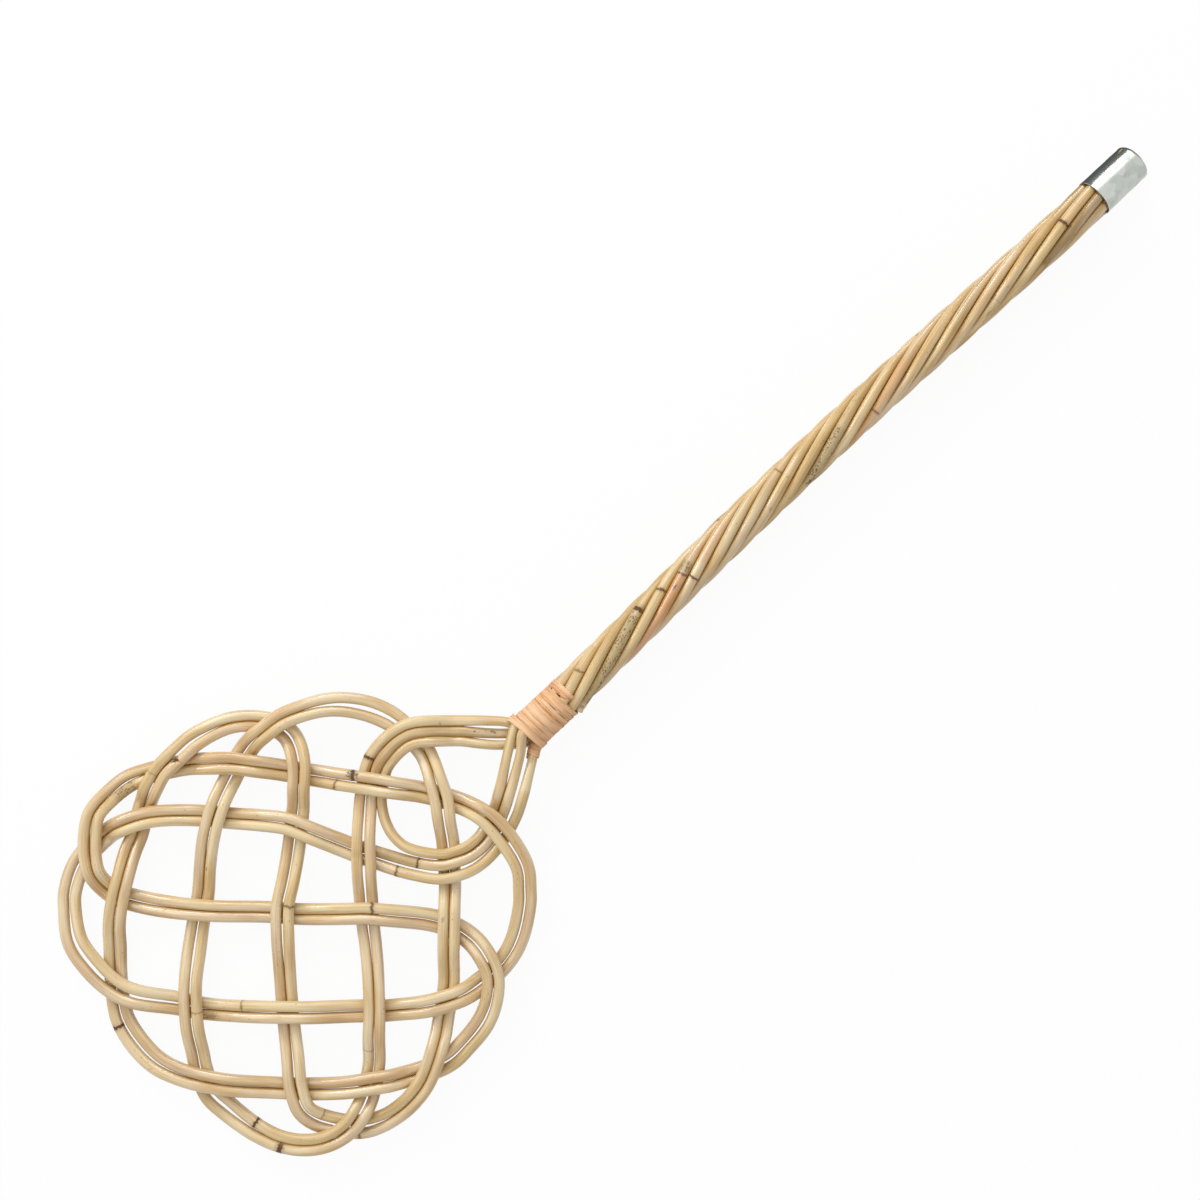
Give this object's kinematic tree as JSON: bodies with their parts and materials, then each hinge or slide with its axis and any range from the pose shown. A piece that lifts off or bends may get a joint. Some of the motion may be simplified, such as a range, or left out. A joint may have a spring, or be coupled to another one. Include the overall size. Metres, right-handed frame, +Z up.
{
  "type": "carpet beater",
  "caption": "Rattan carpet beater: a flat knot of woven canes, a handle of the same canes twisted together, a wound binding at the neck and a metal end cap.",
  "frame": {"origin": "on the surface that the beater lies on, under the middle of its box", "axes": "+Y along the handle from the head towards the end cap, +X to the right across the head, +Z up out of the surface that it lies on"},
  "size_m": [0.2694, 0.8084, 0.0262],
  "materials": {
    "rattan": "satin natural rattan with thin brown nodes",
    "grey_rattan": "satin rattan with grey specks",
    "rattan_core": "matt",
    "rattan_peel": "satin split rattan",
    "galvanised_steel": "satin galvanised steel"
  },
  "bodies": {
    "root": {"long_cane_outer": "rattan", "long_cane_inner_first": "rattan", "long_cane_inner_second": "rattan", "loop_cane": "rattan", "filler_cane_hidden": "rattan", "filler_cane_stub": "grey_rattan", "core_cane": "rattan_core", "binding_strip": "rattan_peel", "end_cap": "galvanised_steel"}
  },
  "joints": []
}
